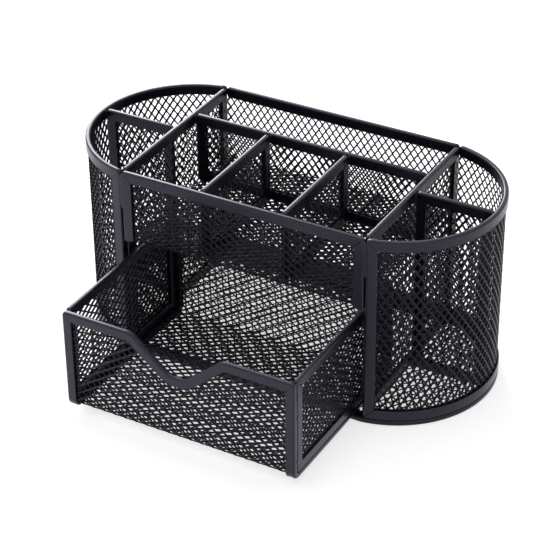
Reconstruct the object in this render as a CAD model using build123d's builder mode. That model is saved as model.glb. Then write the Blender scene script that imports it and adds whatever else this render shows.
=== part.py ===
"""Pen stand with drawer: an oval desk organizer of black expanded-metal mesh.

Every wall is a sheet of diamond mesh whose edges sit in a folded U-channel. Two walls across the
stand close off a bay in the middle, with a drawer below its shelf and pen compartments above it.
Each rounded end holds two tall compartments. Millimetres; +X runs along the stand, -Y is the
front, where the drawer comes out, and +Z is up. The origin is the middle of the base, on the desk.
"""

import math
import os

from build123d import *

# ---------------------------------------------------------------- driving dimensions: housing
height = 103.0  # desk to the top of the rim
depth = 103.0  # front face to back face
bay_length = 132.0  # between the middle planes of the two bay walls
end_sagitta = 44.0  # how far each rounded end stands out past its bay wall
base_rim_height = 3.0  # the channel round the base, lying flat
shelf_level = 64.5  # middle of the shelf's mesh, above the desk
fold_radius = 2.0  # where the front mesh is folded back into the shelf, on its middle line
middle_divider_y = 17.2  # the long divider stands behind the middle
short_divider_spacing = 44.0  # between the two dividers of the front row

# ---------------------------------------------------------------- driving dimensions: drawer
drawer_pulled_out = 60.0  # how far the drawer stands open in the modelled pose
drawer_side_gap = 2.2  # on each side, to the bay walls
drawer_rear_gap = 0.9  # behind the closed drawer, whose front is then flush
drawer_head_gap = 6.0  # over the drawer, under the shelf
drawer_running_gap = 0.5  # under the drawer, above the base rim that it slides on
drawer_floor_channel = 3.0  # thickness of the channel that edges the floor, front and back
drawer_fold_radius = 3.0  # where the floor mesh is folded up into the front and the back
scoop_top_width = 49.0  # finger scoop in the front, across its sloping sides' upper ends
scoop_bottom_width = 8.0
scoop_depth = 17.5
scoop_shoulder_radius = 7.0
scoop_bottom_radius = 9.0

# ---------------------------------------------------------------- driving dimensions: metalwork
mesh_thickness = 1.0
channel_thickness = 2.6  # across a folded U-channel
housing_band = 5.5  # how far a channel covers the mesh, on the housing
drawer_band = 4.8  # and on the drawer
channel_wall = 0.7  # metal between a channel's outer edge and the mesh's edge
edge_round = 0.8  # folded edges of a channel
corner_round = 2.0  # corners of a flat channel frame
slot_clearance = 0.1  # between a mesh sheet and the inside of its channel, all round
seam_gap = 0.3  # between a wall and what it is welded to

# The real sheet's diamonds are 4 mm by 6 mm with 0.8 mm strands. Here each is drawn larger by
# mesh_coarseness, strands and all, so the share of open area is the real one.
mesh_short_pitch = 4.0
mesh_long_pitch = 6.0
mesh_strand = 0.8
mesh_coarseness = 2.4
smallest_gap = 3.0  # mm2: a smaller scrap of a diamond beside a channel stays closed

# ---------------------------------------------------------------- derived sizes: housing
half_depth = depth / 2
half_bay = bay_length / 2
end_radius = (end_sagitta**2 + half_depth**2) / (2 * end_sagitta)
end_centre_x = half_bay + end_sagitta - end_radius
inner_half_depth = half_depth - channel_thickness
slot_width = mesh_thickness + 2 * slot_clearance
mesh_inset = channel_wall + slot_clearance  # from a channel's outer edge to its mesh's edge
wall_rise = height - base_rim_height  # walls stand on the base rim
wall_middle_z = base_rim_height + wall_rise / 2
shelf_top = shelf_level + mesh_thickness / 2
shelf_bottom = shelf_level - mesh_thickness / 2
front_mesh_y = -half_depth + channel_thickness / 2
bay_inner_half = half_bay - channel_thickness / 2  # inside faces of the bay walls
cross_half = bay_inner_half - seam_gap  # half length of what spans the bay

# ---------------------------------------------------------------- derived sizes: drawer
drawer_half = bay_inner_half - drawer_side_gap
drawer_width = 2 * drawer_half
drawer_front_y = -half_depth - drawer_pulled_out
drawer_back_y = inner_half_depth - drawer_rear_gap - drawer_pulled_out
drawer_bottom = base_rim_height + drawer_running_gap
drawer_top = shelf_bottom - drawer_head_gap
drawer_height = drawer_top - drawer_bottom
drawer_front_back_y = drawer_front_y + drawer_floor_channel  # rear face of the front frame
drawer_back_front_y = drawer_back_y - drawer_floor_channel  # inner face of the back frame
drawer_front_mesh_y = drawer_front_y + drawer_floor_channel / 2
drawer_back_mesh_y = drawer_back_y - drawer_floor_channel / 2
drawer_floor_z = drawer_bottom + drawer_floor_channel / 2  # middle of the floor's mesh
drawer_wall_bottom = drawer_bottom + drawer_floor_channel  # the side walls stand here
drawer_wall_rise = drawer_top - drawer_wall_bottom
drawer_wall_z = drawer_wall_bottom + drawer_wall_rise / 2

os.makedirs("parts", exist_ok=True)


def save(piece, name):
    """Label a finished piece and write it under its name."""
    piece.part.label = name
    export_step(piece.part, f"parts/{name}.step")


# ================================================================ the expanded metal
def diamond_gaps(window, long_way_up):
    """Staggered diamond gaps that fill the window, as faces.

    The pitch is eased so that whole diamonds fit the window's box, and its edges cut them in half.
    """
    short, long = mesh_short_pitch * mesh_coarseness, mesh_long_pitch * mesh_coarseness
    across, up = (short, long) if long_way_up else (long, short)
    box = window.bounding_box()
    columns = max(1, round(box.size.X / across))
    rows = max(1, round(box.size.Y / up))
    across, up = box.size.X / columns, box.size.Y / rows
    inset = mesh_strand * mesh_coarseness / 2
    shrink = 1 - inset * math.hypot(across, up) / (across * up / 2)
    half_across, half_up = shrink * across / 2, shrink * up / 2
    diamond = Polygon((half_across, 0), (0, half_up), (-half_across, 0), (0, -half_up))
    gaps = [
        Pos(box.center()) * Pos(shift * across, shift * up) * place * diamond
        for shift in (0, 0.5)
        for place in GridLocations(across, up, columns + 1, rows + 1)
    ]
    opening = window.face()
    corners_inside = [sum(opening.is_inside(corner) for corner in gap.vertices()) for gap in gaps]
    whole = [gap.face() for gap, inside in zip(gaps, corners_inside) if inside == 4]
    with BuildSketch() as cut_by_edge:
        add([gap.face() for gap, inside in zip(gaps, corners_inside) if 0 < inside < 4])
        add(window, mode=Mode.INTERSECT)
    return whole + cut_by_edge.sketch.faces().filter_by(lambda gap: gap.area > smallest_gap)


def mesh_sheet(plane, outline, gaps):
    """A flat sheet centred on the plane: the outline as one holed face, given its thickness."""
    with BuildPart() as sheet:
        with BuildSketch(plane.offset(-mesh_thickness / 2)):
            add(outline.face().make_holes([gap.outer_wire() for gap in gaps]))
        extrude(amount=mesh_thickness)
    return sheet


# ================================================================ the folded channels
def channel_frame(plane, outline, window, slot, thickness):
    """A U-channel round a flat sheet: a rounded plate, open at the window, slotted for the mesh."""
    with BuildPart() as frame:
        with BuildSketch(plane.offset(-thickness / 2)):
            add(outline)
        extrude(amount=thickness)
        fillet(frame.faces().filter_by(plane).edges(), radius=edge_round)
        with BuildSketch(plane.offset(-thickness)):
            add(window)
        extrude(amount=2 * thickness, mode=Mode.SUBTRACT)
        with BuildSketch(plane.offset(-slot_width / 2)):
            add(slot)
        extrude(amount=slot_width, mode=Mode.SUBTRACT)
    return frame


def rectangle(length, bottom, top, corner=0.0):
    """A rectangle centred left to right, from the bottom level to the top one."""
    with BuildSketch() as sketch:
        with Locations((0, (bottom + top) / 2)):
            if corner:
                RectangleRounded(length, top - bottom, corner)
            else:
                Rectangle(length, top - bottom)
    return sketch.sketch


def framed_wall(plane, length, rise, band, long_way_up=True):
    """A mesh wall with a channel along all four edges, centred on the plane's origin."""
    top = rise / 2

    def inset_by(inset, corner=0.0):
        return rectangle(length - 2 * inset, inset - top, top - inset, corner)

    sheet = mesh_sheet(plane, inset_by(mesh_inset), diamond_gaps(inset_by(band), long_way_up))
    frame = channel_frame(
        plane, inset_by(0, corner_round), inset_by(band), inset_by(channel_wall), channel_thickness
    )
    return sheet, frame


def wall_along_x(x, y, z):
    """The middle plane of a wall that runs along X: its local x is +X and its local y is up."""
    return Plane(origin=(x, y, z), x_dir=(1, 0, 0), z_dir=(0, -1, 0))


def wall_along_y(x, y, z):
    """The middle plane of a wall that runs along Y: its local x is +Y and its local y is up."""
    return Plane(origin=(x, y, z), x_dir=(0, 1, 0), z_dir=(1, 0, 0))


# ================================================================ base: oval sheet and its rim
def oval(inset):
    """The stand's outline from above, moved inwards by inset."""
    half_width, radius = half_depth - inset, end_radius - inset
    corner_x = end_centre_x + math.sqrt(radius**2 - half_width**2)
    tip_x = end_centre_x + radius
    with BuildSketch() as outline:
        with BuildLine():
            Line((-corner_x, -half_width), (corner_x, -half_width))
            ThreePointArc((corner_x, -half_width), (tip_x, 0), (corner_x, half_width))
            Line((corner_x, half_width), (-corner_x, half_width))
            ThreePointArc((-corner_x, half_width), (-tip_x, 0), (-corner_x, -half_width))
        make_face()
    return outline.sketch


base_plane = Plane.XY.offset(base_rim_height / 2)
base_window = oval(housing_band)
save(
    mesh_sheet(base_plane, oval(mesh_inset), diamond_gaps(base_window, long_way_up=True)),
    "base_mesh",
)
save(
    channel_frame(base_plane, oval(0), base_window, oval(channel_wall), base_rim_height),
    "base_rim",
)


# ================================================================ rounded ends
def end_band(side, inset, thickness, start_x):
    """A strip that follows the rounded end, seen from above.

    It lies inset inside the outer face, and runs from start_x round to start_x.
    """
    reach = end_radius + half_bay
    keep = (Align.MIN if side > 0 else Align.MAX, Align.CENTER)
    with BuildSketch() as band:
        with Locations((side * end_centre_x, 0)):
            Circle(end_radius - inset)
            Circle(end_radius - inset - thickness, mode=Mode.SUBTRACT)
        with Locations((side * start_x, 0)):
            Rectangle(reach, 2 * reach, align=keep, mode=Mode.INTERSECT)
    return band.sketch


def end_mesh(side):
    """The curved mesh sheet of one rounded end."""
    inset = (channel_thickness - mesh_thickness) / 2
    with BuildPart() as sheet:
        with BuildSketch(Plane.XY.offset(base_rim_height + mesh_inset)):
            add(end_band(side, inset, mesh_thickness, half_bay + seam_gap / 2 + mesh_inset))
        extrude(amount=wall_rise - 2 * mesh_inset)
    return sheet


def end_frame(side):
    """The channel round the curved sheet: rim, foot and the two uprights beside the bay."""
    start = half_bay + seam_gap / 2
    slot_inset = (channel_thickness - slot_width) / 2
    with BuildPart() as frame:
        with BuildSketch(Plane.XY.offset(base_rim_height)):
            add(end_band(side, 0, channel_thickness, start))
        extrude(amount=wall_rise)
        rims = frame.edges().filter_by(GeomType.CIRCLE)
        uprights = frame.edges().filter_by(Axis.Z)
        fillet(rims + uprights, radius=edge_round)
        with BuildSketch(Plane.XY.offset(base_rim_height + housing_band)):
            add(end_band(side, -channel_thickness, 3 * channel_thickness, start + housing_band))
        extrude(amount=wall_rise - 2 * housing_band, mode=Mode.SUBTRACT)
        with BuildSketch(Plane.XY.offset(base_rim_height + channel_wall)):
            add(end_band(side, slot_inset, slot_width, start + channel_wall))
        extrude(amount=wall_rise - 2 * channel_wall, mode=Mode.SUBTRACT)
    return frame


for side, hand in ((-1, "left"), (1, "right")):
    save(end_mesh(side), f"{hand}_end_mesh")
    save(end_frame(side), f"{hand}_end_frame")

# ================================================================ back wall
back_plane = wall_along_x(0, half_depth - channel_thickness / 2, wall_middle_z)
back_mesh, back_frame = framed_wall(back_plane, bay_length - seam_gap, wall_rise, housing_band)
save(back_mesh, "back_mesh")
save(back_frame, "back_frame")

# ================================================================ front wall, folded into a shelf
# Heights on the front wall are measured from the middle of its fold, at shelf_level.
front_length = bay_length - seam_gap
front_plane = wall_along_x(0, front_mesh_y, shelf_level)
front_top = height - shelf_level
front_window_length = front_length - 2 * housing_band


def quarter_fold(mesh_y, floor_z, radius, length, front=True):
    """The bend between an upright mesh at mesh_y, in front or behind, and a level one at floor_z."""
    outer, inner = radius + mesh_thickness / 2, radius - mesh_thickness / 2
    centre_y = mesh_y + radius if front else mesh_y - radius
    keep = (Align.MAX if front else Align.MIN, Align.MAX)
    with BuildPart() as bend:
        with BuildSketch(Plane.YZ):
            with Locations((centre_y, floor_z + radius)):
                Circle(outer)
                Circle(inner, mode=Mode.SUBTRACT)
                Rectangle(outer, outer, align=keep, mode=Mode.INTERSECT)
        extrude(amount=length / 2, both=True)
    return bend.part


front_window = rectangle(front_window_length, fold_radius + mesh_inset, front_top - housing_band)
front_outline = rectangle(front_length - 2 * mesh_inset, fold_radius, front_top - mesh_inset)
front_mesh = mesh_sheet(
    front_plane, front_outline, diamond_gaps(front_window, long_way_up=False)
)
with front_mesh:
    add(
        quarter_fold(
            front_mesh_y, shelf_level, fold_radius, front_window_length - 2 * slot_clearance
        )
    )
save(front_mesh, "front_mesh")

front_frame = channel_frame(
    front_plane,
    rectangle(front_length, -mesh_thickness / 2, front_top, corner_round),
    rectangle(front_window_length, -channel_thickness, front_top - housing_band),
    rectangle(
        front_length - 2 * channel_wall, fold_radius - slot_clearance, front_top - channel_wall
    ),
    channel_thickness,
)
save(front_frame, "front_frame")

shelf_front = front_mesh_y + fold_radius
shelf_back = inner_half_depth - seam_gap
shelf_border = housing_band - channel_wall  # closed strip along the shelf's edges
shelf_plane = Plane.XY.offset(shelf_level)
shelf_mesh = mesh_sheet(
    shelf_plane,
    rectangle(2 * cross_half, shelf_front, shelf_back),
    diamond_gaps(
        rectangle(
            2 * (cross_half - shelf_border), shelf_front + shelf_border, shelf_back - shelf_border
        ),
        long_way_up=False,
    ),
)
save(shelf_mesh, "shelf_mesh")

# ================================================================ bay walls, full height
bay_wall_length = 2 * (inner_half_depth - seam_gap)
for side, hand in ((-1, "left"), (1, "right")):
    bay_plane = wall_along_y(side * half_bay, 0, wall_middle_z)
    sheet, frame = framed_wall(bay_plane, bay_wall_length, wall_rise, housing_band)
    save(sheet, f"{hand}_bay_wall_mesh")
    save(frame, f"{hand}_bay_wall_frame")

# ================================================================ dividers above the shelf
divider_rise = height - shelf_top
divider_z = shelf_top + divider_rise / 2

middle_plane = wall_along_x(0, middle_divider_y, divider_z)
sheet, frame = framed_wall(middle_plane, 2 * cross_half, divider_rise, housing_band)
save(sheet, "middle_divider_mesh")
save(frame, "middle_divider_frame")

short_front = -inner_half_depth + seam_gap
short_back = middle_divider_y - channel_thickness / 2 - seam_gap
for side, hand in ((-1, "left"), (1, "right")):
    short_plane = wall_along_y(
        side * short_divider_spacing / 2, (short_front + short_back) / 2, divider_z
    )
    sheet, frame = framed_wall(
        short_plane, short_back - short_front, divider_rise, housing_band
    )
    save(sheet, f"{hand}_short_divider_mesh")
    save(frame, f"{hand}_short_divider_frame")

# ================================================================ dividers of the rounded ends
end_divider_inner = half_bay + channel_thickness / 2 + seam_gap
end_divider_outer = half_bay + end_sagitta - channel_thickness - seam_gap
for side, hand in ((-1, "left"), (1, "right")):
    end_plane = wall_along_x(
        side * (end_divider_inner + end_divider_outer) / 2, 0, wall_middle_z
    )
    sheet, frame = framed_wall(
        end_plane, end_divider_outer - end_divider_inner, wall_rise, housing_band
    )
    save(sheet, f"{hand}_end_divider_mesh")
    save(frame, f"{hand}_end_divider_frame")

# ================================================================ drawer front, with its scoop
front_face_z = (drawer_bottom + drawer_top) / 2
drawer_front_plane = wall_along_x(0, drawer_front_mesh_y, front_face_z)
drawer_half_rise = drawer_height / 2


def scooped_face(inset, bottom):
    """The drawer front's outline moved inwards by inset, from the level bottom up.

    The scoop's sides are parallel to the outer ones, so the band along it keeps its width.
    """
    half = drawer_half - inset
    top = drawer_half_rise - inset
    floor = top - scoop_depth
    upper, lower = scoop_top_width / 2, scoop_bottom_width / 2
    slope = math.atan2(scoop_depth, upper - lower)
    shift = inset * math.tan(slope / 2)  # how far a mitred corner moves along the flat
    corners = [
        (-half, bottom),
        (-half, top),
        (-upper - shift, top),
        (-lower - shift, floor),
        (lower + shift, floor),
        (upper + shift, top),
        (half, top),
        (half, bottom),
    ]
    with BuildSketch() as face:
        with BuildLine():
            Polyline(*corners, close=True)
        make_face()
        valley = face.vertices().group_by(Axis.Y)[1]
        fillet(valley, radius=scoop_bottom_radius + inset)
        shoulders = face.vertices().group_by(Axis.Y)[-1].sort_by(Axis.X)[1:-1]
        fillet(shoulders, radius=scoop_shoulder_radius - inset)
    return face.sketch


fold_top = drawer_floor_z + drawer_fold_radius - front_face_z  # from the middle of the front
drawer_window_length = drawer_width - 2 * drawer_band
drawer_fold_length = drawer_window_length - 2 * slot_clearance
drawer_front_mesh = mesh_sheet(
    drawer_front_plane,
    scooped_face(mesh_inset, fold_top),
    diamond_gaps(scooped_face(drawer_band, fold_top + mesh_inset), long_way_up=False),
)
with drawer_front_mesh:
    add(
        quarter_fold(drawer_front_mesh_y, drawer_floor_z, drawer_fold_radius, drawer_fold_length)
    )
save(drawer_front_mesh, "drawer_front_mesh")

drawer_front_frame = channel_frame(
    drawer_front_plane,
    scooped_face(0, -drawer_half_rise),
    scooped_face(drawer_band, -drawer_height),
    scooped_face(channel_wall, fold_top - slot_clearance),
    drawer_floor_channel,
)
save(drawer_front_frame, "drawer_front_frame")

# ================================================================ drawer back
drawer_back_plane = wall_along_x(0, drawer_back_mesh_y, front_face_z)
drawer_back_mesh = mesh_sheet(
    drawer_back_plane,
    rectangle(drawer_width - 2 * mesh_inset, fold_top, drawer_half_rise - mesh_inset),
    diamond_gaps(
        rectangle(drawer_window_length, fold_top + mesh_inset, drawer_half_rise - drawer_band),
        long_way_up=False,
    ),
)
with drawer_back_mesh:
    add(
        quarter_fold(
            drawer_back_mesh_y, drawer_floor_z, drawer_fold_radius, drawer_fold_length, front=False
        )
    )
save(drawer_back_mesh, "drawer_back_mesh")

drawer_back_frame = channel_frame(
    drawer_back_plane,
    rectangle(drawer_width, -drawer_half_rise, drawer_half_rise, corner_round),
    rectangle(drawer_window_length, -drawer_height, drawer_half_rise - drawer_band),
    rectangle(
        drawer_width - 2 * channel_wall, fold_top - slot_clearance, drawer_half_rise - channel_wall
    ),
    drawer_floor_channel,
)
save(drawer_back_frame, "drawer_back_frame")

# ================================================================ drawer floor
floor_plane = Plane.XY.offset(drawer_floor_z)
floor_front = drawer_front_mesh_y + drawer_fold_radius
floor_back = drawer_back_mesh_y - drawer_fold_radius
drawer_floor_mesh = mesh_sheet(
    floor_plane,
    rectangle(drawer_width - 2 * mesh_inset, floor_front, floor_back),
    diamond_gaps(
        rectangle(drawer_window_length, floor_front + mesh_inset, floor_back - mesh_inset),
        long_way_up=False,
    ),
)
save(drawer_floor_mesh, "drawer_floor_mesh")

floor_channels = channel_frame(
    floor_plane,
    rectangle(drawer_width, drawer_front_back_y, drawer_back_front_y),
    rectangle(drawer_window_length, drawer_front_y, drawer_back_y),
    rectangle(drawer_width - 2 * channel_wall, drawer_front_y, drawer_back_y),
    drawer_floor_channel,
)
for hand, strip in zip(("left", "right"), floor_channels.solids().sort_by(Axis.X)):
    with BuildPart() as floor_channel:
        add(strip)
    save(floor_channel, f"drawer_floor_{hand}_frame")

# ================================================================ drawer sides
drawer_side_length = drawer_back_front_y - drawer_front_back_y
drawer_side_y = (drawer_back_front_y + drawer_front_back_y) / 2
for side, hand in ((-1, "left"), (1, "right")):
    side_plane = wall_along_y(
        side * (drawer_half - channel_thickness / 2), drawer_side_y, drawer_wall_z
    )
    sheet, frame = framed_wall(
        side_plane, drawer_side_length, drawer_wall_rise, drawer_band, long_way_up=False
    )
    save(sheet, f"drawer_{hand}_mesh")
    save(frame, f"drawer_{hand}_frame")
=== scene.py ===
"""Pen stand with drawer: black diamond mesh in folded channels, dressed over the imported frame.

Every wall is drawn on its own sheet: u runs along it, v up it and w out of it. A place function
bends the sheet into the room, so one mesh and one channel serve the flat walls, the rounded ends
and the two folded sheets. Metres; -Y is the front, where the drawer comes out.
"""

import math
import re

import bmesh
import bpy
import numpy as np
from mathutils import Matrix, Vector


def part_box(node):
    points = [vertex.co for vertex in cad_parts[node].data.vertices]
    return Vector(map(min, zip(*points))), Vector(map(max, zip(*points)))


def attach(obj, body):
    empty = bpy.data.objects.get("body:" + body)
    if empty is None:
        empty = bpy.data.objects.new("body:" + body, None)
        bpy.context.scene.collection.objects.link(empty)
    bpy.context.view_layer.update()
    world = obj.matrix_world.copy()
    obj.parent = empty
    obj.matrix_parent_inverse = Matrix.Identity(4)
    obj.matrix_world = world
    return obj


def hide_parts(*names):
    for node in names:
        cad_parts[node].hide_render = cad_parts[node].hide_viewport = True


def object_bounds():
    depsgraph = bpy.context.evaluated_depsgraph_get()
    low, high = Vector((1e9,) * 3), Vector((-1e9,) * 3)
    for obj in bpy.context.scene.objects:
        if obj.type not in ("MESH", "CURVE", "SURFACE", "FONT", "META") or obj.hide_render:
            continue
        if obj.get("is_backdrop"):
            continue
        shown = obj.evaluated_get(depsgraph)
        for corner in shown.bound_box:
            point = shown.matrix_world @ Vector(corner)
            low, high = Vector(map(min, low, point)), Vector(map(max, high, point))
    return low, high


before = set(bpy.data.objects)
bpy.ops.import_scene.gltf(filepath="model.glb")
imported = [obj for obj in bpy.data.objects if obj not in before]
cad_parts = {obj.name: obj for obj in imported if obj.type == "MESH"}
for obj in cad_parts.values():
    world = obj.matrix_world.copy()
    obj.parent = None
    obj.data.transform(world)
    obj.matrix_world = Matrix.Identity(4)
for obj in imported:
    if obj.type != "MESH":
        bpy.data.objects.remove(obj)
cad_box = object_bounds()
mm = 0.001

# ---------------------------------------------------------------- expanded metal
short_pitch = 4.0 * mm
long_pitch = 6.0 * mm
strand_width = 0.78 * mm
strand_thickness = 0.5 * mm
strand_tilt = 0.24 * mm  # how far a strand's edges turn out of the sheet
blunt_tip = 0.15 * mm  # half height of a diamond's cut-off sharp corners

# ---------------------------------------------------------------- folded channels
housing_band = 5.5 * mm  # how far a channel covers its mesh
drawer_band = 4.8 * mm
fold_round = 0.9 * mm  # the folded outer edge
flange_bevel = 0.22 * mm  # the cut inner edge
channel_slot = 1.1 * mm  # between a channel's two flanges
slot_depth = 1.6 * mm
corner_round = 2.0 * mm
seam_half_width = 0.16 * mm  # mitre seams across the corners
seam_depth = 0.5 * mm

# ---------------------------------------------------------------- folds and the finger scoop
shelf_fold_radius = 2.0 * mm
drawer_fold_radius = 3.0 * mm
scoop_top_width = 49.0 * mm
scoop_bottom_width = 8.0 * mm
scoop_depth = 17.5 * mm
scoop_shoulder_radius = 7.0 * mm
scoop_bottom_radius = 9.0 * mm

# ---------------------------------------------------------------- welds
post_bead = (1.1 * mm, 0.62 * mm)  # a bead's half width and half depth
corner_bead = (0.5 * mm, 0.5 * mm)
drawer_bead = (0.6 * mm, 0.55 * mm)
post_bead_sunk = 0.72 * mm  # from the wall's face to the middle of a post's bead
drawer_bead_sunk = 0.3 * mm
front_bead_reach = 21.0 * mm  # how far down from the rim the beads go
other_bead_reach = 5.0 * mm
post_bead_gap = 1.2 * mm  # from the rim down to where a bead begins
corner_bead_gap = 0.6 * mm
drawer_bead_length = 3.0 * mm
bead_lumps = 0.07  # how much a bead swells and narrows, as a share of its width

# ---------------------------------------------------------------- how finely it is drawn
sheet_edge = 0.8 * mm  # from a channel's outer edge to the mesh inside it
arc_steps = 6  # points along a rounded corner
fold_steps = 5  # points round a channel's folded edge
round_step = 2.5 * mm  # between points along a rounded end
fold_step = 0.8 * mm  # between points along the drawer's folded channel
tip_steps = 73  # points round each end of the base
bead_sides = 14
bead_levels = 20
least_bend = 0.03 * mm  # keeps an inner corner from folding over
merge_distance = 0.002 * mm
crease_angle = math.radians(38)


# ================================================================ finish
def powder_coat(name, color, roughness, grain, shine):
    """Satin powder coat: a fine orange peel, with slow changes of gloss and shade."""
    darkest, lightest, gloss_spread = 0.8, 1.25, 0.07
    material = bpy.data.materials.new(name)
    material.use_nodes = True
    nodes, links = material.node_tree.nodes, material.node_tree.links
    shader = nodes["Principled BSDF"]
    shader.inputs["Specular IOR Level"].default_value = shine
    shader.inputs["Specular Tint"].default_value = (0.79, 0.75, 1.0, 1)
    place = nodes.new("ShaderNodeTexCoord")

    def noise(scale, detail):
        node = nodes.new("ShaderNodeTexNoise")
        node.inputs["Scale"].default_value = scale
        node.inputs["Detail"].default_value = detail
        links.new(place.outputs["Object"], node.inputs["Vector"])
        return node.outputs["Fac"]

    shade = nodes.new("ShaderNodeMix")
    shade.data_type = "RGBA"
    shade.inputs["A"].default_value = (*[darkest * part for part in color], 1)
    shade.inputs["B"].default_value = (*[lightest * part for part in color], 1)
    links.new(noise(45, 4), shade.inputs["Factor"])
    links.new(shade.outputs["Result"], shader.inputs["Base Color"])

    gloss = nodes.new("ShaderNodeMapRange")
    gloss.inputs["To Min"].default_value = roughness - gloss_spread
    gloss.inputs["To Max"].default_value = roughness + gloss_spread
    links.new(noise(160, 5), gloss.inputs["Value"])
    links.new(gloss.outputs["Result"], shader.inputs["Roughness"])

    peel = nodes.new("ShaderNodeBump")
    peel.inputs["Strength"].default_value = grain
    peel.inputs["Distance"].default_value = 0.05 * mm
    links.new(noise(1900, 3), peel.inputs["Height"])
    links.new(peel.outputs["Normal"], shader.inputs["Normal"])
    return material


mesh_black = (0.0034, 0.0032, 0.0056)
channel_black = (0.0056, 0.0053, 0.009)
base_black = (0.005, 0.0047, 0.0075)
finishes = {
    slot: powder_coat(slot.replace("_", " ") + " coat", color, roughness, grain, shine)
    for slot, color, roughness, grain, shine in (
        ("housing_mesh", mesh_black, 0.34, 0.25, 0.24),
        ("housing_channel", channel_black, 0.29, 0.4, 0.42),
        ("base_channel", base_black, 0.32, 0.4, 0.34),
        ("drawer_mesh", mesh_black, 0.34, 0.25, 0.24),
        ("drawer_channel", channel_black, 0.28, 0.4, 0.46),
    )
}


def piece(name, points, faces, body, slot, replaced=(), smooth=True):
    """A closed mesh as a piece of the stand: on its body, in its finish, in place of its nodes."""
    mesh = bpy.data.meshes.new(name)
    mesh.from_pydata(points.tolist(), [], faces)
    work = bmesh.new()
    work.from_mesh(mesh)
    bmesh.ops.remove_doubles(work, verts=work.verts, dist=merge_distance)
    bmesh.ops.recalc_face_normals(work, faces=work.faces)
    work.to_mesh(mesh)
    work.free()
    if smooth:
        mesh.shade_smooth()
        mesh.set_sharp_from_angle(angle=crease_angle)
    mesh.materials.append(finishes[slot])
    obj = bpy.data.objects.new(name, mesh)
    bpy.context.scene.collection.objects.link(obj)
    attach(obj, body)
    if replaced:
        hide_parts(*replaced)
    return obj


# ================================================================ sheets in the room
def along_x(centre):
    """A flat upright sheet that runs along X and faces the front."""
    x, y, z = centre
    return lambda u, v, w: np.stack([x + u, y - w, z + v], -1)


def along_y(centre):
    """A flat upright sheet that runs along Y and faces +X."""
    x, y, z = centre
    return lambda u, v, w: np.stack([x + w, y + u, z + v], -1)


def lying(centre):
    """A flat level sheet that faces up."""
    x, y, z = centre
    return lambda u, v, w: np.stack([x + u, y + v, z + w], -1)


def rounded(side, centre_x, radius):
    """A rounded end: u runs round it from the front to the back, or back to front on the left."""

    def place(u, v, w):
        angle = u / radius
        out = radius + w
        x, y = centre_x + out * np.cos(angle), out * np.sin(angle)
        return np.stack([side * x, side * y, v], -1)

    return place


def folded(mesh_y, floor_z, radius, back_y=math.inf):
    """An upright front folded into a level floor, and at back_y folded up again into a back.

    v is 0 where the first fold begins. Above that it goes up the front. Below it, v goes round the
    fold, back along the floor and up the back.
    """
    fold = radius * math.pi / 2
    floor = back_y - mesh_y - 2 * radius

    def place(u, v, w):
        turned = np.clip(-v, 0, fold) + np.clip(-v - fold - floor, 0, fold)
        out = radius + w
        y = mesh_y + radius - out * np.cos(turned / radius) + np.clip(-v - fold, 0, floor)
        rise = np.maximum(v, 0) + np.maximum(-v - 2 * fold - floor, 0)
        z = floor_z + radius - out * np.sin(turned / radius) + rise
        return np.stack([u + 0 * w, y, z], -1)

    return place


# ================================================================ outlines on a sheet
def outline_of(corners, step=None):
    """A polygon with rounded corners that can be drawn at any inset with the same points.

    Each corner is (u, v, radius, seam), anticlockwise. The result is a function of the inset and
    of how deep the seams are cut, from 0 to 1. It gives points and how far each is sunk.
    """
    spots = np.array([corner[:2] for corner in corners])
    ahead = np.roll(spots, -1, axis=0) - spots
    lengths = np.linalg.norm(ahead, axis=1)
    ahead /= lengths[:, None]
    behind = np.roll(ahead, 1, axis=0)
    counts = [max(1, round(length / step)) if step else 1 for length in lengths]

    def inwards(direction):
        return np.array([-direction[1], direction[0]])

    def corner_points(index, inset, cut):
        radius, seam = corners[index][2:]
        before, after = behind[index], ahead[index]
        turn = math.atan2(before[0] * after[1] - before[1] * after[0], before @ after)
        hand = math.copysign(1, turn)
        left, right = inwards(before), inwards(after)
        tip = spots[index] + inset * (left + right) / (1 + left @ right)
        bend = max(radius - hand * inset, least_bend)
        start = tip - before * bend * math.tan(abs(turn) / 2)
        centre = start + hand * left * bend
        arm = start - centre
        points, sinks = [], []
        for share in np.linspace(0, 1, arc_steps + 1):
            c, s = math.cos(share * turn), math.sin(share * turn)
            point = centre + np.array([c * arm[0] - s * arm[1], s * arm[0] + c * arm[1]])
            if not seam:
                points.append(point)
                sinks.append(0.0)
                continue
            if share <= 0.5:
                points.append(point - before * cut * seam_half_width)
                sinks.append(0.0)
            if share == 0.5:
                points.append(point)
                sinks.append(cut * seam_depth)
            if share >= 0.5:
                points.append(point + after * cut * seam_half_width)
                sinks.append(0.0)
        return points, sinks

    def draw(inset, cut=0.0):
        groups = [corner_points(index, inset, cut) for index in range(len(corners))]
        points, sinks = [], []
        for index, (here, here_sinks) in enumerate(groups):
            points += here
            sinks += here_sinks
            following = groups[(index + 1) % len(groups)][0][0]
            for share in np.arange(1, counts[index]) / counts[index]:
                points.append(here[-1] + share * (following - here[-1]))
                sinks.append(0.0)
        return np.array(points), np.array(sinks)

    return draw


def rectangle(half_length, bottom, top):
    """A channel frame's outline, with a mitre seam in each corner."""
    spots = [(-half_length, bottom), (half_length, bottom), (half_length, top), (-half_length, top)]
    return outline_of([(*spot, corner_round, True) for spot in spots])


def end_rise(inset, band):
    """How far the rounded end of a channel is cut back at the inset."""
    from_edge = corner_round - min(inset, band - inset, corner_round)
    return corner_round - math.sqrt(corner_round**2 - from_edge**2)


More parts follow.
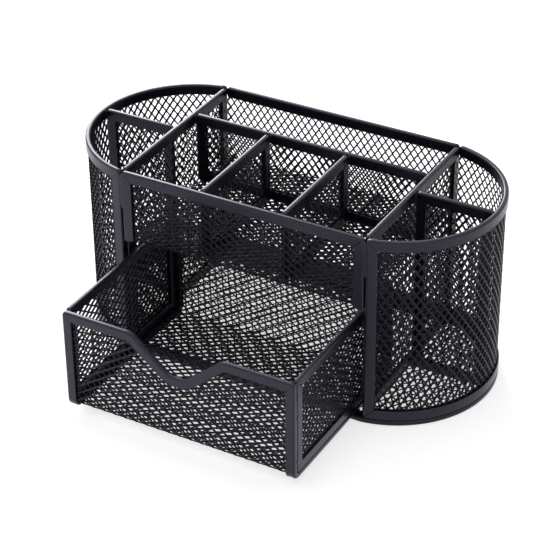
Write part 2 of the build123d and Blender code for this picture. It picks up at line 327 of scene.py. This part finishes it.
def arch(half_length, end, top, band, step=math.inf):
    """A channel's outline that is open below: up one side, across the top and down the other."""
    whole = rectangle(half_length, end - 4 * corner_round, top)

    def run(start, finish, length):
        """Points on the way from start to finish, without either."""
        shares = np.linspace(0, 1, max(1, round(length / step)) + 1)[1:-1, None]
        return start + shares * (finish - start)

    def draw(inset, cut=0.0):
        points, sinks = whole(inset, cut)
        upper = points[:, 1] > end
        right, left = np.split(points[upper], 2)
        right_sinks, left_sinks = np.split(sinks[upper], 2)
        foot = end + end_rise(inset, band)
        first, last = np.array([half_length - inset, foot]), np.array([inset - half_length, foot])
        rise, fall = run(first, right[0], top - end), run(left[-1], last, top - end)
        across = run(right[-1], left[0], 2 * half_length)
        path = [first[None], rise, right, across, left, fall, last[None]]
        depths = [np.zeros(len(part)) for part in path]
        depths[2], depths[4] = right_sinks, left_sinks
        return np.concatenate(path), np.concatenate(depths)

    return draw


def rolled(outline, turns, middle):
    """An outline drawn round the middle, turned by quarters: -1 opens it to +u, and 1 to -u."""

    def draw(inset, cut=0.0):
        points, sinks = outline(inset, cut)
        along, up = points.T
        return np.stack([turns * up, middle - turns * along], -1), sinks

    return draw


def rail(half_length, edge, hand, band):
    """A straight channel's outline: along the top edge with hand 1, along the foot with -1."""

    def draw(inset, cut=0.0):
        reach = half_length - end_rise(inset, band)
        level = edge - hand * inset
        return np.array([(hand * reach, level), (-hand * reach, level)]), np.zeros(2)

    return draw


def oval(half_width, centre_x, radius):
    """The stand's outline from above."""

    def draw(inset, cut=0.0):
        half, reach = half_width - inset, radius - inset
        sweep = math.asin(half / reach)
        angles = np.linspace(-sweep, sweep, tip_steps)
        tip = np.stack([centre_x + reach * np.cos(angles), reach * np.sin(angles)], -1)
        points = np.concatenate([tip, -tip])
        return points, np.zeros(len(points))

    return draw


# ================================================================ folded channels
def channel_profile(band, thickness):
    """A U-channel's section as (inset, w, cut): from one flange round the fold to the other."""
    half, lip = thickness / 2, channel_slot / 2
    flat_start = fold_round + 0.3 * mm
    flange = [
        (band - slot_depth, lip, 0),
        (band - flange_bevel, lip, 0),
        (band, lip + flange_bevel, 1),
        (band, half - flange_bevel, 1),
        (band - flange_bevel, half, 1),
        (flat_start, half, 1),
    ]
    for turn in np.linspace(0, math.pi / 2, fold_steps):
        inset = fold_round * (1 - math.sin(turn))
        flange.append((inset, half - fold_round * (1 - math.cos(turn)), 0))
    return flange + [(inset, -w, cut) for inset, w, cut in reversed(flange)]


def channel(name, outline, place, band, thickness, body, slot, replaced, ends=False):
    """A folded channel along an outline. With ends it isn't a loop: it has two rounded ends."""
    rings = []
    for inset, w, cut in channel_profile(band, thickness):
        points, sinks = outline(inset, cut)
        level = np.sign(w) * (abs(w) - sinks)
        rings.append(place(points[:, 0], points[:, 1], level))
    count, around = len(rings), len(rings[0])
    faces = []
    for ring in range(count):
        here, beyond = ring * around, (ring + 1) % count * around
        for spot in range(around - 1 if ends else around):
            following = (spot + 1) % around
            faces.append((here + spot, here + following, beyond + following, beyond + spot))
    if ends:
        first = np.arange(count) * around
        faces += [first.tolist(), (first + around - 1).tolist()]
    return piece(name, np.concatenate(rings), faces, body, slot, replaced)


# ================================================================ expanded metal
def expanded_metal(
    name, place, u_span, v_span, long_way_up, body, slot, replaced, cut=None, tilt=strand_tilt
):
    """A sheet of staggered diamonds over the window u_span by v_span, just into its channels.

    The pitch is eased so that whole diamonds fit. cut, if given, is (window, sheet), two outlines:
    only diamonds that show in the window and stay within the sheet are kept. A negative tilt is a
    sheet fitted the other way round.
    """
    across, up = (short_pitch, long_pitch) if long_way_up else (long_pitch, short_pitch)
    columns = round((u_span[1] - u_span[0]) / across)
    rows = round((v_span[1] - v_span[0]) / up)
    half = np.array([(u_span[1] - u_span[0]) / columns, (v_span[1] - v_span[0]) / rows]) / 2
    start = np.array([u_span[0], v_span[0]])
    grid = np.stack(np.mgrid[0 : 2 * columns + 1, 0 : 2 * rows + 1], -1).reshape(-1, 2)
    centres = grid[grid.sum(1) % 2 == 0]

    def turned(offsets):
        """Offsets given along the long way and the short way, turned onto u and v."""
        return np.stack([-offsets[:, 1], offsets[:, 0]], -1) if long_way_up else offsets

    corners = turned(np.array([(1, 0), (0, 1), (-1, 0), (0, -1)]))
    if cut:
        window, sheet = cut
        just_inside = 0.98
        near = start + half * (centres[:, None] + just_inside * corners)
        shows = inside(near.reshape(-1, 2), window).reshape(-1, 4).any(1)
        shows |= inside(start + half * centres, window)
        shows &= inside(near.reshape(-1, 2), sheet).reshape(-1, 4).all(1)
        centres = centres[shows]

    reach = 1 - strand_width * math.hypot(across, up) / (across * up)
    blunt = blunt_tip / (short_pitch / 2)
    tip = reach - blunt
    half_gap = [(tip, blunt), (0, reach), (-tip, blunt)]
    gap = np.array(half_gap + [(-x, -y) for x, y in half_gap])
    lean = gap[:, 1] / reach * tilt

    bonds, which = np.unique(
        (centres[:, None] + corners).reshape(-1, 2), axis=0, return_inverse=True
    )
    which = which.reshape(-1, 4)
    rims = (centres[:, None] + turned(gap)).reshape(-1, 2)
    flat = start + half * np.concatenate([bonds, rims])
    level = np.concatenate([np.zeros(len(bonds)), np.tile(lean, len(centres))])
    u, v = flat.T
    thick = strand_thickness / 2
    points = np.concatenate([place(u, v, level + thick), place(u, v, level - thick)])

    below = len(flat)
    edge = len(bonds) + np.arange(len(rims)).reshape(-1, 6)
    east, north, west, south = which.T
    inner = edge.T
    front = [
        (east, north, inner[1], inner[0]),
        (north, west, inner[2], inner[1]),
        (west, inner[3], inner[2]),
        (west, south, inner[4], inner[3]),
        (south, east, inner[5], inner[4]),
        (east, inner[0], inner[5]),
    ]
    faces = []
    for loop in front:
        stack = np.stack(loop, -1)
        faces += stack.tolist()
        faces += (below + stack[:, ::-1]).tolist()
    for first in range(6):
        here, following = inner[first], inner[(first + 1) % 6]
        faces += np.stack([here, following, below + following, below + here], -1).tolist()

    sides = np.concatenate([np.stack(pair, -1) for pair in zip(which.T, np.roll(which, -1, 1).T)])
    _, index, times = np.unique(np.sort(sides, 1), axis=0, return_index=True, return_counts=True)
    here, following = sides[index[times == 1]].T
    faces += np.stack([following, here, below + here, below + following], -1).tolist()
    return piece(name, points, faces, body, slot, replaced, smooth=False)


def inside(points, outline):
    """Whether each point lies inside the outline, by counting the edges that a ray crosses."""
    x, y = points[:, :1], points[:, 1:]
    (ax, ay), (bx, by) = outline.T, np.roll(outline, -1, axis=0).T
    crossed = (ay > y) != (by > y)
    meets = ax + (y - ay) * (bx - ax) / np.where(by == ay, 1, by - ay)
    return (crossed & (x < meets)).sum(1) % 2 == 1


# ================================================================ flat walls
def flat_wall(node, long_way_up=True):
    """A mesh wall with a channel along all four edges, where its CAD node stands."""
    low, high = (np.array(corner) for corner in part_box(f"{node}_frame"))
    size, centre = high - low, (low + high) / 2
    on_drawer = node.startswith("drawer")
    body, band = ("drawer", drawer_band) if on_drawer else ("housing", housing_band)
    lies_along_x = size[0] > size[1]
    length, thickness = (size[0], size[1]) if lies_along_x else (size[1], size[0])
    place = along_x(centre) if lies_along_x else along_y(centre)
    half_length, half_rise = length / 2, size[2] / 2
    channel(
        f"{node}_channel",
        rectangle(half_length, -half_rise, half_rise),
        place,
        band,
        thickness,
        body,
        f"{body}_channel",
        [f"{node}_frame"],
    )
    expanded_metal(
        f"{node}_diamonds",
        place,
        (band - half_length, half_length - band),
        (band - half_rise, half_rise - band),
        long_way_up,
        body,
        f"{body}_mesh",
        [f"{node}_mesh"],
        tilt=strand_tilt if lies_along_x or on_drawer else -strand_tilt,
    )


flat_wall("middle_divider")
for hand in ("left", "right"):
    flat_wall(f"{hand}_bay_wall")
    flat_wall(f"{hand}_short_divider")
    flat_wall(f"{hand}_end_divider")
    flat_wall(f"drawer_{hand}", long_way_up=False)

# ================================================================ base
rim_low, rim_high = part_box("base_rim")
half_bay = (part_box("right_bay_wall_frame")[0].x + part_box("right_bay_wall_frame")[1].x) / 2
half_depth = rim_high.y
sagitta = rim_high.x - half_bay
end_radius = (sagitta**2 + half_depth**2) / (2 * sagitta)
end_centre_x = rim_high.x - end_radius
base_outline = oval(half_depth, end_centre_x, end_radius)
base_place = lying((0, 0, rim_high.z / 2))
channel(
    "base_channel",
    base_outline,
    base_place,
    housing_band,
    rim_high.z,
    "housing",
    "base_channel",
    ["base_rim"],
)
base_window, base_sheet = base_outline(housing_band)[0], base_outline(sheet_edge)[0]
expanded_metal(
    "base_diamonds",
    base_place,
    (base_window[:, 0].min(), base_window[:, 0].max()),
    (base_window[:, 1].min(), base_window[:, 1].max()),
    True,
    "housing",
    "housing_mesh",
    ["base_mesh"],
    cut=(base_window, base_sheet),
)

# ================================================================ back wall and rounded ends
# Behind, the sheets of the ends and the back meet on the bay walls' frames, with no uprights.
back_low, back_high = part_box("back_frame")
back_place = along_x((0, (back_low.y + back_high.y) / 2, 0))
back_thickness = back_high.y - back_low.y
window = (back_low.z + housing_band, back_high.z - housing_band)
for name, edge, hand, replaced in (
    ("back_rim_channel", back_high.z, 1, ["back_frame"]),
    ("back_foot_channel", back_low.z, -1, []),
):
    channel(
        name,
        rail(back_high.x, edge, hand, housing_band),
        back_place,
        housing_band,
        back_thickness,
        "housing",
        "housing_channel",
        replaced,
        ends=True,
    )
expanded_metal(
    "back_diamonds",
    back_place,
    (back_low.x, back_high.x),
    window,
    True,
    "housing",
    "housing_mesh",
    ["back_mesh"],
)

for side, hand in ((-1, "left"), (1, "right")):
    low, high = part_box(f"{hand}_end_frame")
    middle_radius = end_radius - back_thickness / 2
    start_x = min(abs(low.x), abs(high.x)) - end_centre_x
    half_length = middle_radius * math.acos(start_x / (end_radius - back_thickness))
    middle, half_rise = (low.z + high.z) / 2, (high.z - low.z) / 2
    around = arch(half_rise, -half_length, half_length, housing_band, step=round_step)
    place = rounded(side, end_centre_x, middle_radius)
    channel(
        f"{hand}_end_channel",
        rolled(around, -side, middle),
        place,
        housing_band,
        back_thickness,
        "housing",
        "housing_channel",
        [f"{hand}_end_frame"],
        ends=True,
    )
    front_edge = side * (housing_band - half_length)
    expanded_metal(
        f"{hand}_end_diamonds",
        place,
        sorted((front_edge, side * half_length)),
        window,
        True,
        "housing",
        "housing_mesh",
        [f"{hand}_end_mesh"],
    )

# ================================================================ front wall and shelf
front_low, front_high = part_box("front_frame")
shelf_low, shelf_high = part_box("shelf_mesh")
front_y = (front_low.y + front_high.y) / 2
shelf_z = (shelf_low.z + shelf_high.z) / 2
front_place = folded(front_y, shelf_z, shelf_fold_radius)
fold_start_z = shelf_z + shelf_fold_radius
channel(
    "front_channel",
    arch(front_high.x, front_low.z, front_high.z, housing_band),
    along_x((0, front_y, 0)),
    housing_band,
    front_high.y - front_low.y,
    "housing",
    "housing_channel",
    ["front_frame"],
    ends=True,
)
shelf_end = -shelf_fold_radius * math.pi / 2 - (shelf_high.y - front_y - shelf_fold_radius)
expanded_metal(
    "front_and_shelf_diamonds",
    front_place,
    (long_pitch / 2 - shelf_high.x, shelf_high.x - long_pitch / 2),
    (shelf_end + short_pitch / 2, front_high.z - housing_band - fold_start_z),
    False,
    "housing",
    "housing_mesh",
    ["front_mesh", "shelf_mesh"],
    tilt=-strand_tilt,
)

# ================================================================ drawer front, floor and back
face_low, face_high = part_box("drawer_front_frame")
tail_low, tail_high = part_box("drawer_back_frame")
floor_low, floor_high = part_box("drawer_floor_mesh")
face_y, tail_y = (face_low.y + face_high.y) / 2, (tail_low.y + tail_high.y) / 2
floor_z = (floor_low.z + floor_high.z) / 2
drawer_place = folded(face_y, floor_z, drawer_fold_radius, tail_y)
drawer_half = face_high.x
face_top = face_high.z - floor_z - drawer_fold_radius
tail_top = -(tail_y - face_y) + (2 - math.pi) * drawer_fold_radius - face_top
scoop_floor = face_top - scoop_depth
drawer_outline = outline_of(
    [
        (-drawer_half, tail_top, corner_round, True),
        (drawer_half, tail_top, corner_round, True),
        (drawer_half, face_top, corner_round, True),
        (scoop_top_width / 2, face_top, scoop_shoulder_radius, False),
        (scoop_bottom_width / 2, scoop_floor, scoop_bottom_radius, False),
        (-scoop_bottom_width / 2, scoop_floor, scoop_bottom_radius, False),
        (-scoop_top_width / 2, face_top, scoop_shoulder_radius, False),
        (-drawer_half, face_top, corner_round, True),
    ],
    step=fold_step,
)
channel(
    "drawer_channel",
    drawer_outline,
    drawer_place,
    drawer_band,
    face_high.y - face_low.y,
    "drawer",
    "drawer_channel",
    [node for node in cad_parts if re.fullmatch("drawer_(front|floor|back).*_frame", node)],
)
expanded_metal(
    "drawer_diamonds",
    drawer_place,
    (drawer_band - drawer_half, drawer_half - drawer_band),
    (tail_top + drawer_band, face_top - drawer_band),
    False,
    "drawer",
    "drawer_mesh",
    ["drawer_front_mesh", "drawer_floor_mesh", "drawer_back_mesh"],
    cut=(drawer_outline(drawer_band)[0], drawer_outline(sheet_edge)[0]),
    tilt=-strand_tilt,
)


# ================================================================ welds
def welds(name, beads, body):
    """Upright, slightly lumpy weld beads as one piece.

    Each is (x, y, (low z, high z), (half width, half depth)).
    """
    angles = np.arange(bead_sides) / bead_sides * math.tau
    rings, faces = [], []
    for x, y, (low, high), (half_width, half_depth) in beads:
        for level in range(bead_levels + 1):
            share = level / bead_levels
            taper = (1 - abs(2 * share - 1) ** 6) ** 0.5
            taper *= 1 + bead_lumps * math.sin(2.1 * level + 300 * x)
            across = x + taper * half_width * np.cos(angles)
            out = y + taper * half_depth * np.sin(angles)
            rings.append(np.stack([across, out, 0 * out + low + share * (high - low)], -1))
    for ring in range(len(rings)):
        if (ring + 1) % (bead_levels + 1) == 0:
            continue  # a bead's last ring
        for spot in range(bead_sides):
            here, following = (ring * bead_sides + near % bead_sides for near in (spot, spot + 1))
            faces.append((here, following, following + bead_sides, here + bead_sides))
    return piece(name, np.concatenate(rings), faces, body, f"{body}_channel")


bay_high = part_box("right_bay_wall_frame")[1]
middle_low, middle_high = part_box("middle_divider_frame")
short_low, short_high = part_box("right_short_divider_frame")
end_low, end_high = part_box("right_end_divider_frame")
side_low, side_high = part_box("drawer_right_frame")
post_gap_x = (front_high.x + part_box("right_end_frame")[0].x) / 2
rim_z = bay_high.z
front_span = (rim_z - front_bead_reach, rim_z - post_bead_gap)
back_span = (rim_z - other_bead_reach, rim_z - post_bead_gap)
corner_span = (rim_z - other_bead_reach, rim_z - corner_bead_gap)
corner_spots = [(middle_high.x, y) for y in (middle_low.y, middle_high.y)]
for low, high in ((short_low, short_high), (end_low, end_high)):
    corner_spots += [(x, y) for x in (low.x, high.x) for y in (low.y, high.y)]
drawer_bead_tops = (side_high.z - 1 * mm, side_high.z - 19 * mm, side_low.z + 8 * mm)
housing_beads, drawer_beads = [], []
for side in (-1, 1):
    housing_beads += [
        (side * post_gap_x, front_low.y + post_bead_sunk, front_span, post_bead),
        (side * post_gap_x, back_high.y - post_bead_sunk, back_span, post_bead),
    ]
    housing_beads += [(side * x, y, corner_span, corner_bead) for x, y in corner_spots]
    bead_x = side * (side_high.x - drawer_bead_sunk)
    for end_y in (side_low.y, side_high.y):
        for top in drawer_bead_tops:
            drawer_beads.append((bead_x, end_y, (top - drawer_bead_length, top), drawer_bead))
welds("housing_welds", housing_beads, "housing")
welds("drawer_welds", drawer_beads, "drawer")


# ================================================================ floor, light and camera
def seen_rays(tree):
    """1 for what the camera sees, straight or in a reflection or through glass, and else 0."""
    rays = tree.nodes.new("ShaderNodeLightPath")
    seen = tree.nodes.new("ShaderNodeMath")
    seen.operation = "ADD"
    both = tree.nodes.new("ShaderNodeMath")
    both.operation = "ADD"
    both.use_clamp = True
    tree.links.new(rays.outputs["Is Camera Ray"], seen.inputs[0])
    tree.links.new(rays.outputs["Is Glossy Ray"], seen.inputs[1])
    tree.links.new(seen.outputs[0], both.inputs[0])
    tree.links.new(rays.outputs["Is Transmission Ray"], both.inputs[1])
    return both.outputs[0]


def camera_white(name, color, glow):
    """A pale surface, lifted to white where it is seen in full light, that keeps its shadow."""
    material = bpy.data.materials.new(name)
    material.use_nodes = True
    tree = material.node_tree
    tree.nodes.remove(tree.nodes["Principled BSDF"])
    plain = tree.nodes.new("ShaderNodeBsdfDiffuse")
    plain.inputs["Color"].default_value = (*color, 1)
    bright = tree.nodes.new("ShaderNodeEmission")
    lift = tree.nodes.new("ShaderNodeMath")
    lift.operation = "MULTIPLY"
    lift.inputs[1].default_value = glow
    both = tree.nodes.new("ShaderNodeAddShader")
    tree.links.new(seen_rays(tree), lift.inputs[0])
    tree.links.new(lift.outputs[0], bright.inputs["Strength"])
    tree.links.new(plain.outputs[0], both.inputs[0])
    tree.links.new(bright.outputs[0], both.inputs[1])
    tree.links.new(both.outputs[0], tree.nodes["Material Output"].inputs["Surface"])
    return material


floor_reach, floor_color, floor_glow = 3.0, (0.88, 0.88, 0.9), 0.62
floor_mesh = bpy.data.meshes.new("floor")
quarters = ((-1, -1), (1, -1), (1, 1), (-1, 1))
floor_corners = [(x * floor_reach, y * floor_reach, 0) for x, y in quarters]
floor_mesh.from_pydata(floor_corners, [], [(0, 1, 2, 3)])
floor_mesh.materials.append(camera_white("white floor", floor_color, floor_glow))
floor = bpy.data.objects.new("floor", floor_mesh)
bpy.context.scene.collection.objects.link(floor)
floor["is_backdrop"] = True

room_light = 0.35  # on the stand; where it is seen, the room is white
world = bpy.data.worlds.new("soft white room")
bpy.context.scene.world = world
world.use_nodes = True
strength = world.node_tree.nodes.new("ShaderNodeMapRange")
strength.inputs["To Min"].default_value = room_light
strength.inputs["To Max"].default_value = 1.0
background = world.node_tree.nodes["Background"]
background.inputs["Color"].default_value = (1, 1, 1, 1)
world.node_tree.links.new(seen_rays(world.node_tree), strength.inputs["Value"])
world.node_tree.links.new(strength.outputs["Result"], background.inputs["Strength"])


def softbox(name, place, width, height, power):
    """An oblong lamp that looks at the stand, in metres and watts."""
    lamp = bpy.data.lights.new(name, "AREA")
    lamp.shape = "RECTANGLE"
    lamp.size = width
    lamp.size_y = height
    lamp.energy = power
    obj = bpy.data.objects.new(name, lamp)
    bpy.context.scene.collection.objects.link(obj)
    obj.location = place
    towards_stand = Vector((0, 0, 50 * mm)) - Vector(place)
    obj.rotation_euler = towards_stand.to_track_quat("-Z", "Y").to_euler()


softbox("top light", (-0.15, 0.15, 1.4), 1.2, 1.2, 4.0)
softbox("back light", (-0.93, 0.98, 0.62), 0.6, 1.0, 16.0)
softbox("left light", (-1.3, -0.7, 0.9), 0.9, 0.9, 3.0)
softbox("right light", (1.2, -0.9, 0.8), 0.9, 0.9, 2.0)

# The camera's place and turn are fitted to the stand's edges as they show from the front right.
camera = bpy.data.cameras.new("camera")
camera.sensor_width = 36.0
camera.lens = 132.7
camera.clip_start = 0.01
camera_object = bpy.data.objects.new("camera", camera)
bpy.context.scene.collection.objects.link(camera_object)
camera_right = Vector((0.8721, 0.4892, -0.0078))
camera_up = Vector((-0.2562, 0.4702, 0.8446))
camera_back = camera_right.cross(camera_up)
turn = Matrix((camera_right, camera_up, camera_back)).transposed().to_4x4()
look_at = Vector((0, 0, 51.5 * mm))
shift = (-8.6 * mm, -13.6 * mm)
distance = 1.0126
spot = look_at + distance * camera_back + shift[0] * camera_right + shift[1] * camera_up
camera_object.matrix_world = Matrix.Translation(spot) @ turn
bpy.context.scene.camera = camera_object

view = bpy.context.scene.view_settings
view.view_transform = "Standard"

boxes = {"cad": cad_box, "visual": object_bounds()}
{name: [list(corner) for corner in box] for name, box in boxes.items()}
